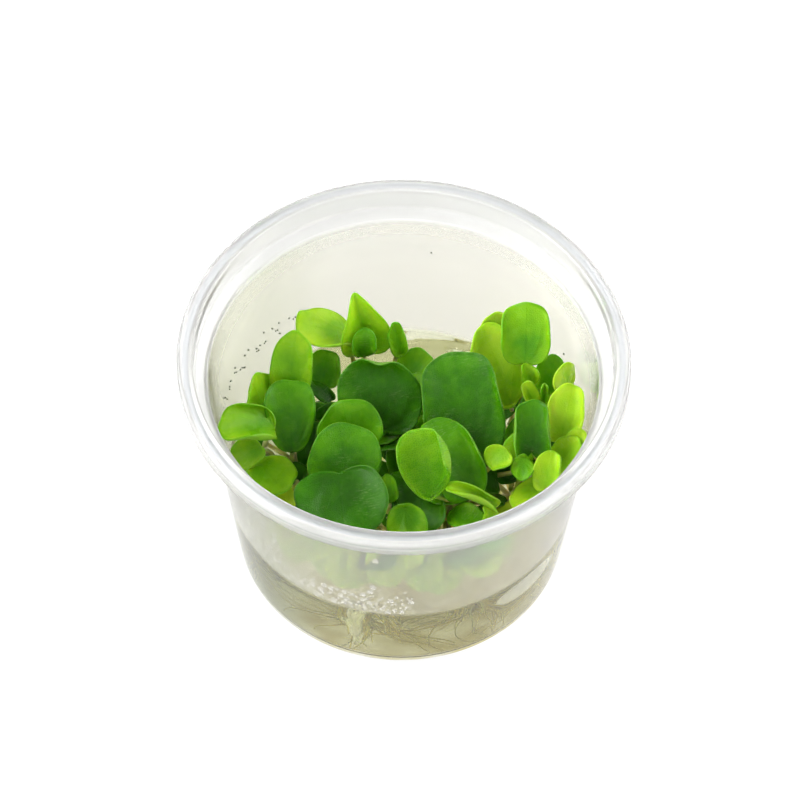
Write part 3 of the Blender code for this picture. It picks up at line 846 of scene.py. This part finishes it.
def blade_stance(leaf):
    """Notch, axes (right, forward, upper side) and length: the bent tip lands on the stated one."""
    notch = np.array(leaf.notch, float)
    run = np.array(leaf.tip, float) - notch
    length = np.linalg.norm(run)
    forward = unit(run)
    right = unit(np.cross(forward, (0, 0, 1)))
    upper = np.cross(right, forward)
    right, upper = turned(right, upper, math.radians(leaf.roll))
    _, tip_y, tip_z = bent(0.0, length, 0.0, leaf, length)
    upper, forward = turned(upper, forward, math.atan2(tip_z, tip_y))
    return notch, (right, forward, upper), length * length / math.hypot(tip_y, tip_z)


def blade_surface(leaf, stance, phase, steps, rings):
    """Upper side of the blade as rings of points, with the flat coordinates and the share of the way out."""
    notch, (right, forward, upper), length = stance
    turn = np.arange(steps)[None, :] * math.tau / steps
    share = (np.arange(rings + 1) / rings)[:, None] ** 0.85
    edge_x, edge_y = blade_edge(turn, leaf, length)
    uneven = 1 + 0.012 * np.sin(4 * turn + phase) + 0.01 * np.sin(7 * turn - 2 * phase)
    edge_x, edge_y = edge_x * uneven, edge_y * uneven
    reach = np.hypot(edge_x, edge_y)
    out = PETIOLE_RADIUS + (reach - PETIOLE_RADIUS) * share
    lift = leaf.wave * share**3 * (
        np.sin(2 * turn + phase)
        + 0.6 * np.sin(3 * turn + 1.7 * phase)
        + 0.35 * np.sin(5 * turn + 2.3 * phase)
    )
    size = min(length, leaf.width)
    lift = lift + QUILT * size * share * np.sin(math.pi * share) * (
        np.sin(4 * turn + 1.3 * phase + 3 * share) + 0.6 * np.sin(7 * turn - phase + 9 * share)
    )
    for middle, spread, rolled in leaf.lips:
        apart = (turn - math.radians(middle) + math.pi) % math.tau - math.pi
        weight = np.exp(-((apart / math.radians(spread)) ** 2))
        flat = np.maximum(out - LIP_START * reach, 0)
        bend = np.maximum(math.radians(rolled) * weight * flat / ((1 - LIP_START) * reach), 1e-6)
        out = np.where(flat > 0, LIP_START * reach + flat * np.sin(bend) / bend, out)
        lift = lift + flat * (1 - np.cos(bend)) / bend
    x, y = edge_x / reach * out, edge_y / reach * out
    bent_x, bent_y, bent_z = bent(x, y, lift, leaf, length)
    points = notch + right * bent_x[..., None] + forward * bent_y[..., None] + upper * bent_z[..., None]
    flat_place = np.stack([x, y, np.broadcast_to(share, x.shape)], axis=-1)
    return points, flat_place


def blade_shell(leaf, stance, phase, steps, rings):
    """The blade as one closed shell: points, faces, flat coordinates and side (1 upper, 0 lower)."""
    top, flat_place = blade_surface(leaf, stance, phase, steps, rings)
    around = np.roll(top, -1, axis=1) - np.roll(top, 1, axis=1)
    outward = np.gradient(top, axis=0)
    normal = to_units(np.cross(around, outward))
    rim = top[-1] + (to_units(outward[-1]) - normal[-1]) * BLADE_THICKNESS / 2
    bottom = (top - normal * BLADE_THICKNESS)[::-1]
    rows = [*top, rim, *bottom]
    places = [*flat_place, flat_place[-1], *flat_place[::-1]]
    sides = [1.0] * len(top) + [0.5] + [0.0] * len(top)
    verts = [stance[0]]
    coordinates, side = [(0, 0, 0)], [1.0]
    for row, place, value in zip(rows, places, sides):
        verts.extend(row)
        coordinates.extend(place)
        side.extend([value] * steps)
    verts.append(stance[0] - stance[1][2] * BLADE_THICKNESS)
    coordinates.append((0, 0, 0))
    side.append(0.0)
    return verts, [face[::-1] for face in shell_faces(len(rows), steps)], coordinates, side


def petiole_path(leaf, stance, foot):
    """Points along the petiole, from under the notch down to the crown."""
    notch, (_, forward, upper), _ = stance
    start, side = foot
    end = notch - upper * BLADE_THICKNESS / 2
    leave = unit(side * PETIOLE_SPREAD + np.array([0, 0, 1.0]))
    arrive = unit(forward + upper)
    span = np.linalg.norm(end - start)
    bow = np.array([leaf.bow[0], leaf.bow[1], 0.0])
    handles = [start, start + leave * span * 0.4 + bow, end - arrive * span * 0.3 + bow, end]
    points = []
    for k in range(PETIOLE_PIECES + 1):
        t = 1 - k / PETIOLE_PIECES
        weights = ((1 - t) ** 3, 3 * t * (1 - t) ** 2, 3 * t * t * (1 - t), t**3)
        points.append(sum(w * h for w, h in zip(weights, handles)))
    return points


def petiole_feet():
    """Where each petiole starts beside its crown: towards its leaf, pushed apart where several go one way."""
    feet = {}
    for name, plant in PLANTS.items():
        mine = [key for key, leaf in LEAVES.items() if leaf.plant == name]
        angle = {
            key: math.atan2(LEAVES[key].notch[1] - plant.y, LEAVES[key].notch[0] - plant.x)
            for key in mine
        }
        for _ in range(200):
            order = sorted(mine, key=lambda key: angle[key])
            for near, far in zip(order, order[1:] + order[:1]):
                apart = (angle[far] - angle[near]) % math.tau
                if apart < PETIOLE_SPACING:
                    push = (PETIOLE_SPACING - apart) / 2
                    angle[near] -= push
                    angle[far] += push
        for key in mine:
            side = np.array([math.cos(angle[key]), math.sin(angle[key]), 0])
            start = np.array([plant.x, plant.y, PETIOLE_FOOT]) + side * PETIOLE_RING
            feet[key] = (start, side)
    return feet


def leaf_parts(leaf, foot, phase, steps=BLADE_STEPS, rings=BLADE_RINGS):
    """Points, faces and attributes of one leaf, blade and petiole."""
    stance = blade_stance(leaf)
    verts, faces, coordinates, side = blade_shell(leaf, stance, phase, steps, rings)
    path = petiole_path(leaf, stance, foot)
    radii = [PETIOLE_RADIUS * (0.9 + 0.25 * k / PETIOLE_PIECES) for k in range(PETIOLE_PIECES + 1)]
    stem_verts, stem_faces = tube(path, radii, PETIOLE_SIDES)
    all_verts, all_faces = join([(verts, faces), (stem_verts, stem_faces)])
    fade = np.repeat(np.clip(np.arange(PETIOLE_PIECES + 1) / 4, 0, 1), PETIOLE_SIDES)
    floats = {
        "tone": [leaf.tone] * len(all_verts),
        "side": side + [0.5] * len(stem_verts),
        "stalk": [0.0] * len(verts) + list(fade),
        "net": [leaf.net] * len(all_verts),
    }
    return all_verts, all_faces, floats, list(coordinates) + [(0, 0, 0)] * len(stem_verts)


def build_leaves(material):
    slots = {row["node"]: row["material_slot"] for row in frame["record"]["subparts"]}
    feet = petiole_feet()
    for index, (name, leaf) in enumerate(LEAVES.items()):
        verts, faces, floats, places = leaf_parts(leaf, feet[name], 2.4 * index)
        node = "leaf_" + name
        add_piece("fine_" + node, verts, faces, material, node, slots[node], floats, {"blade": places})


def under_spots(random):
    """(spot, heading, rise, width, tone) of small low leaves: all over the clump, then out to the wall."""
    spots = []
    for k in range(UNDER_LEAVES):
        far, turn = UNDER_REACH * math.sqrt((k + 0.5) / UNDER_LEAVES), k * GOLDEN_ANGLE
        spot = np.array([far * math.cos(turn), far * math.sin(turn), random.uniform(28, 34)])
        rise, width, tone = random.uniform(0.1, 0.9), random.uniform(7, 11), random.uniform(0.15, 0.5)
        if spot[0] < LOW_SIDE:
            spot[2], rise = min(spot[2], LOW_TOP), 0.1
        if spot[1] < UNDER_BACK:
            spots.append((spot, None, rise, width, tone))
    for spot in CORE_SPOTS:
        spots.append((np.array(spot, float), None, 0.6, random.uniform(8, 11), random.uniform(0.15, 0.3)))
    spots.append((np.array(BACK_LEAF[0]), math.radians(BACK_LEAF[1]), 0.5, 10, 0.62))
    for degrees in WALL_LEAF_ANGLES:
        turn = math.radians(degrees - 90)
        far = random.uniform(28, 31)
        spot = np.array([far * math.cos(turn), far * math.sin(turn), random.uniform(29, 36)])
        rise, width, tone = random.uniform(-0.7, 0.0), random.uniform(9, 13), random.uniform(0.85, 1.0)
        spots.append((spot, turn, rise, width, tone))
    return spots


def build_undergrowth(material, random):
    """Small low leaves, each on a petiole from the nearest crown."""
    parts, places = [], []
    floats = {"tone": [], "side": [], "stalk": [], "net": []}
    for spot, heading, rise, width, tone in under_spots(random):
        plant = min(PLANTS.values(), key=lambda one: math.hypot(one.x - spot[0], one.y - spot[1]))
        foot = np.array([plant.x, plant.y, PETIOLE_FOOT])
        side = unit(np.array([spot[0] - plant.x, spot[1] - plant.y, 0.0]) + 1e-3)
        if heading is None:
            heading = math.atan2(side[1], side[0]) + random.normal(0, 0.7)
        tip = spot + unit(np.array([math.cos(heading), math.sin(heading), rise])) * random.uniform(6.5, 9.5)
        tip[:2] *= min(1, UNDER_EDGE / math.hypot(tip[0], tip[1]))
        leaf = Leaf("", tuple(spot), tuple(tip), width, tone, cup=random.uniform(5, 40), wave=0.4)
        verts, faces, values, flat_places = leaf_parts(
            leaf, (foot + side * UNDER_RING, side), 5 * heading, UNDER_STEPS, UNDER_RINGS
        )
        parts.append((verts, faces))
        places += flat_places
        for key in floats:
            floats[key] += values[key]
    add_piece("undergrowth", *join(parts), material, None, "leaf_dark", floats, {"blade": places})


# Crowns, roots, drops and flecks


def build_roots(random):
    """Each plant's roots as separate strands, within the form of its bundle."""
    material = root_material()
    for name, plant in PLANTS.items():
        parts, tones = [], []
        for _ in range(ROOT_STRANDS):
            turn, far = random.uniform(0, math.tau), math.sqrt(random.uniform(0.05, 1))
            depth = random.uniform(3.5, 7.5)
            share = (ROOT_TOP - depth) / (ROOT_TOP - ROOT_BOTTOM)
            reach = plant.root_spread * 0.9 * far
            start = np.array([plant.x, plant.y, ROOT_TOP])
            start[:2] += random.uniform(-1.3, 1.3, 2)
            end = np.array([
                plant.x + plant.root_x * share + reach * math.cos(turn),
                plant.y + plant.root_y * share + reach * math.sin(turn),
                depth,
            ])
            middle = start * 0.5 + end * 0.5 + random.uniform(-1.2, 1.2, 3)
            middle[2] -= random.uniform(0, 4)
            t = np.linspace(0, 1, ROOT_PIECES)[:, None]
            path = (1 - t) ** 2 * start + 2 * t * (1 - t) * middle + t * t * end
            path[:, 0] += 0.35 * np.sin(t[:, 0] * 11 + turn)
            path[:, 1] += 0.35 * np.cos(t[:, 0] * 9 + turn)
            thick = random.uniform(0.18, 0.45)
            radii = [thick * (1 - 0.55 * k / ROOT_PIECES) for k in range(ROOT_PIECES)]
            parts.append(tube(path, radii, ROOT_SIDES))
            tones.extend([random.uniform(0.0, 1.0) ** 1.5] * (ROOT_PIECES * ROOT_SIDES))
        add_piece("strands_" + name, *join(parts), material, "roots_" + name, "root", {"tone": tones})


def build_root_mat(random):
    """Fine roots that run on across the base from under each plant, and a pale clump against the wall."""
    material = root_material()
    parts, tones = [], []

    def strand(points, thick, tone, ripple):
        points = np.array(points, float)
        count = len(points)
        steps = np.linspace(0, 1, count)
        points[:, 0] += ripple * np.sin(steps * 13 + tone * 40)
        points[:, 1] += ripple * np.cos(steps * 11 + tone * 70)
        far = np.hypot(points[:, 0], points[:, 1])
        limit = (inner_wall(points[:, 2]) - 1.0) / np.maximum(far, 1e-6)
        points[:, :2] *= np.minimum(limit, 1)[:, None]
        parts.append(tube(points, [thick * (1 - 0.5 * k / count) for k in range(count)], MAT_SIDES))
        tones.extend([tone] * (count * MAT_SIDES))

    for plant in PLANTS.values():
        foot = np.array([plant.x + plant.root_x * 0.7, plant.y + plant.root_y * 0.7])
        for _ in range(MAT_STRANDS):
            turn = random.uniform(0, math.tau)
            run, curl = random.uniform(8, 22), random.uniform(-1.2, 1.2)
            start_height = random.uniform(3.5, 11)
            points = []
            for k in range(MAT_PIECES + 1):
                t = k / MAT_PIECES
                angle = turn + curl * t
                height = MAT_HEIGHT + (start_height - MAT_HEIGHT) * (1 - t) ** 3
                height += 0.3 * math.sin(t * 9 + turn)
                x, y = foot[0] + run * t * math.cos(angle), foot[1] + run * t * math.sin(angle)
                points.append((x, y, height))
            strand(points, random.uniform(0.14, 0.34), random.uniform(0, 1) ** 1.3, 0.3)
    for _ in range(CLUMP_STRANDS):
        spread = random.normal(0, 1.5)
        top, bottom = random.uniform(15, 21.5), random.uniform(6, 11) + abs(spread)
        points = []
        for k in range(CLUMP_PIECES + 1):
            t = k / CLUMP_PIECES
            height = top + (bottom - top) * t
            radius = inner_wall(height) - 1.0 - random.uniform(0, 0.5) - 1.5 * (1 - t) ** 2
            lean = math.radians(CLUMP_ANGLE + spread * (1 - 0.6 * t)) + 0.01 * math.sin(9 * t + top)
            points.append(from_front(lean, radius, height))
        strand(points, random.uniform(0.25, 0.55), 1.0, 0.15)
    add_piece("root_mat", *join(parts), material, None, "root", {"tone": tones})


def finish_crowns():
    """The crowns keep their solids and take a finish."""
    material = crown_material()
    for name in PLANTS:
        node = frame["nodes"]["crown_" + name]
        node.data.materials.clear()
        node.data.materials.append(material)


def drop_dome(centre, angle, size):
    """Points and faces of one flat dome of water on the wall."""
    away = from_front(angle, 1, 0)
    sideways = np.array([math.cos(angle), math.sin(angle), 0])
    verts = [centre - away * size * DROP_HEIGHT]
    for ring in range(1, DROP_RINGS + 1):
        lean = ring / DROP_RINGS * math.pi / 2
        for k in range(DROP_SIDES):
            a = math.tau * k / DROP_SIDES
            spread = sideways * math.cos(a) + np.array([0, 0, DROP_SAG]) * math.sin(a)
            out = away * size * DROP_HEIGHT * math.cos(lean)
            verts.append(centre + spread * size * math.sin(lean) - out)
    faces = [(0, 1 + k, 1 + (k + 1) % DROP_SIDES) for k in range(DROP_SIDES)]
    for ring in range(DROP_RINGS - 1):
        faces += ring_faces(1 + ring * DROP_SIDES, 1 + (ring + 1) * DROP_SIDES, DROP_SIDES)
    faces.append(tuple(1 + (DROP_RINGS - 1) * DROP_SIDES + k for k in range(DROP_SIDES))[::-1])
    return verts, faces


def build_drops(random):
    """Condensation on the inside of the wall, over the gel at the front and left."""
    parts, placed = [], []
    for low, high, bottom, top, count in DROP_GROUPS:
        for _ in range(count):
            angle = math.radians(random.uniform(low, high))
            height = bottom + (top - bottom) * random.uniform(0, 1) ** 1.6
            size = 0.25 + 0.6 * random.uniform(0, 1) ** 2 if placed else LONE_DROP
            radius = inner_wall(height) - 0.02
            spot = np.array([radius * angle, height, size])
            if any(np.hypot(*(spot - one)[:2]) < DROP_GAP * (size + one[2]) for one in placed):
                continue
            placed.append(spot)
            parts.append(drop_dome(from_front(angle, radius, height), angle, size))
    add_piece("condensation", *join(parts), drop_material(), None, "cup_plastic")


def build_specks(random):
    """Small dark flecks on the inside of the wall, in a loose line up the left, with strays at the right."""
    material, tree, shader, _ = new_material("fleck")
    fill(tree, shader, {"Base Color": (0.05, 0.07, 0.03, 1), "Roughness": 0.4})
    parts = []
    low, high = SPECK_LINE
    shares = np.arange(SPECKS) / (SPECKS - 1)
    places = [low + (high - low) * share + random.normal(0, (1.4, 1.1)) for share in shares]
    for turn, height in [*places, *STRAY_SPECKS]:
        radius, angle = inner_wall(height) - 0.05, math.radians(turn)
        middle = from_front(angle, radius, height)
        lean = random.uniform(0.3, 1.0)
        along = unit(np.array([0.5 * math.cos(angle), 0.5 * math.sin(angle), lean]))
        size = random.uniform(0.15, 0.5)
        path = [middle + along * size * t for t in (-1.0, -0.5, 0, 0.5, 1.0)]
        parts.append(tube(path, [0.08, 0.18, 0.22, 0.17, 0.08], 6))
    add_piece("flecks", *join(parts), material, None, "cup_plastic")


# Stage


def build_stage():
    """A white glowing floor and a room with soft boxes."""
    bpy.ops.mesh.primitive_plane_add(size=6)
    floor = bpy.context.object
    floor.name = "floor"
    material, tree, shader, _ = new_material("floor")
    fill(tree, shader, {
        "Base Color": (0.1, 0.1, 0.1, 1),
        "Roughness": 0.9,
        "Specular IOR Level": 0.0,
        "Emission Color": (1, 1, 0.99, 1),
        "Emission Strength": FLOOR_GLOW,
    })
    floor.data.materials.append(material)

    world = bpy.data.worlds.new("studio")
    world.use_nodes = True
    sky = world.node_tree
    toward = add_node(sky, "ShaderNodeTexCoord").outputs["Generated"]
    strength = ROOM_BRIGHTNESS
    for direction, brightness, begins, full in LIGHTS:
        inputs = {0: toward, 1: unit(np.array(direction)).tolist()}
        facing = add_node(sky, "ShaderNodeVectorMath", inputs, operation="DOT_PRODUCT").outputs["Value"]
        strength = scaled(sky, step_between(sky, facing, begins, full), brightness, strength)
    fill(sky, sky.nodes["Background"], {"Color": (1, 1, 1, 1), "Strength": strength})
    bpy.context.scene.world = world


def build_camera():
    """The photograph's view."""
    tilt, roll = math.radians(CAMERA_ELEVATION), math.radians(CAMERA_ROLL)
    level_up = Vector((0, math.sin(tilt), math.cos(tilt)))
    right, up = turned(Vector((1, 0, 0)), level_up, roll)
    back = Vector((0, -math.cos(tilt), math.sin(tilt)))
    data = bpy.data.cameras.new("camera")
    data.sensor_width = SENSOR_MM
    data.lens = FOCAL_PIXELS / FRAME_PIXELS * SENSOR_MM
    data.shift_x = (FRAME_PIXELS / 2 - CENTRE_PIXEL[0]) / FRAME_PIXELS
    data.shift_y = (CENTRE_PIXEL[1] - FRAME_PIXELS / 2) / FRAME_PIXELS
    data.clip_start, data.clip_end = 0.01, 20
    camera = bpy.data.objects.new("camera", data)
    place = Vector((0, 0, CAMERA_AIM_HEIGHT * MM)) + back * CAMERA_DISTANCE * MM
    turn = Matrix((right, up, back)).transposed().to_4x4()
    camera.matrix_world = Matrix.Translation(place) @ turn
    bpy.context.scene.collection.objects.link(camera)
    bpy.context.scene.camera = camera
    bpy.context.scene.view_settings.view_transform = "Standard"


for item in list(bpy.data.objects):
    bpy.data.objects.remove(item)
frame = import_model()
build_camera()
build_stage()
build_cup()
build_gel()
leaf_finish = leaf_material()
build_leaves(leaf_finish)
build_undergrowth(leaf_finish, np.random.RandomState(SEED + 2))
finish_crowns()
build_roots(np.random.RandomState(SEED))
build_root_mat(np.random.RandomState(SEED + 3))
build_drops(np.random.RandomState(SEED + 1))
build_specks(np.random.RandomState(SEED + 4))
